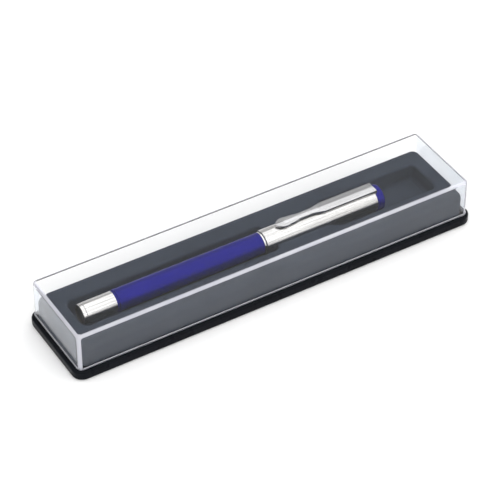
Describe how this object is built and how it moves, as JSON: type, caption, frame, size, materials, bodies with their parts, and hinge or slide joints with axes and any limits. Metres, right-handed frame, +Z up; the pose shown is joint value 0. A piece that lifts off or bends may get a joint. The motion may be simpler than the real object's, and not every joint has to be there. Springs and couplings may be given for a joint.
{
  "type": "capped fountain pen in a clear-lidded presentation case",
  "caption": "Capped fountain pen with a plastic barrel, steel cap and clip, in a flocked cradle under a lift-off clear lid.",
  "frame": {"origin": "centre of the base tray's underside", "axes": "+X along the pen towards its crown, +Y to the back of the case, +Z up out of the open case"},
  "size_m": [0.1748, 0.0394, 0.0206],
  "materials": {
    "black_gloss_plastic": "moulded, satin gloss",
    "grey_flock": "flocked velvet nap",
    "clear_plastic": "clear polished moulding",
    "blue_plastic": "satin moulded",
    "brushed_steel": "brushed along the pen",
    "bright_steel": "polished",
    "black_matt_plastic": "matt moulded",
    "grey_plastic": "moulded",
    "converter_clear": "clear tube",
    "seal_rubber": "soft seal"
  },
  "bodies": {
    "case": {"base_tray": "black_gloss_plastic", "cradle_insert": "grey_flock"},
    "lid": {"clear_lid": "clear_plastic"},
    "writing_unit": {"section_grip": "black_matt_plastic", "nib_collar": "black_matt_plastic", "feed": "black_matt_plastic", "nib": "bright_steel", "ink_tube": "converter_clear", "converter_sleeve": "bright_steel"},
    "ring": {"centre_ring": "bright_steel"},
    "barrel": {"barrel_tube": "blue_plastic", "tail_sleeve": "brushed_steel", "tail_plug": "black_matt_plastic"},
    "knob": {"converter_knob": "black_matt_plastic"},
    "piston": {"piston_rod": "grey_plastic", "piston_seal": "seal_rubber"},
    "cap": {"cap_tube": "brushed_steel", "cap_liner": "grey_plastic", "cap_screw": "bright_steel", "crown": "blue_plastic", "clip_tab": "brushed_steel"},
    "clip": {"clip": "brushed_steel"}
  },
  "joints": [
    {"name": "lid_lift", "type": "slide", "parent": "case", "child": "lid", "axis": [0, 0, 1], "range_m": [0, 0.15]},
    {"name": "pen_lift", "type": "slide", "parent": "case", "child": "writing_unit", "axis": [0, 0, 1], "range_m": [0, 0.0675]},
    {"name": "cap_pull", "type": "slide", "parent": "writing_unit", "child": "cap", "axis": [1, 0, 0], "range_m": [0, 0.0525]},
    {"name": "clip_flex", "type": "hinge", "parent": "cap", "child": "clip", "pos_m": [0.0518, 0, 0.01825], "axis": [0, 1, 0], "range_deg": [0, 0.8], "stiffness_Nm_per_rad": 6},
    {"name": "barrel_unscrew", "type": "hinge", "parent": "ring", "child": "barrel", "pos_m": [-0.03, 0, 0.0124], "axis": [1, 0, 0], "range_deg": [0, 900]},
    {"name": "barrel_back_off", "type": "slide", "parent": "writing_unit", "child": "ring", "axis": [-1, 0, 0], "range_m": [0, 0.002]},
    {"name": "knob_turn", "type": "hinge", "parent": "writing_unit", "child": "knob", "pos_m": [-0.05, 0, 0.0124], "axis": [1, 0, 0], "range_deg": [0, 2700]},
    {"name": "piston_travel", "type": "slide", "parent": "writing_unit", "child": "piston", "axis": [1, 0, 0], "range_m": [0, 0.015]}
  ],
  "couplings": [
    {"joint": "pen_lift", "follows": "lid_lift", "ratio": 0.45},
    {"joint": "cap_pull", "follows": "lid_lift", "ratio": 0.35},
    {"joint": "barrel_unscrew", "follows": "barrel_back_off", "rad_per_m": 7854},
    {"joint": "knob_turn", "follows": "piston_travel", "rad_per_m": 3141.6}
  ]
}
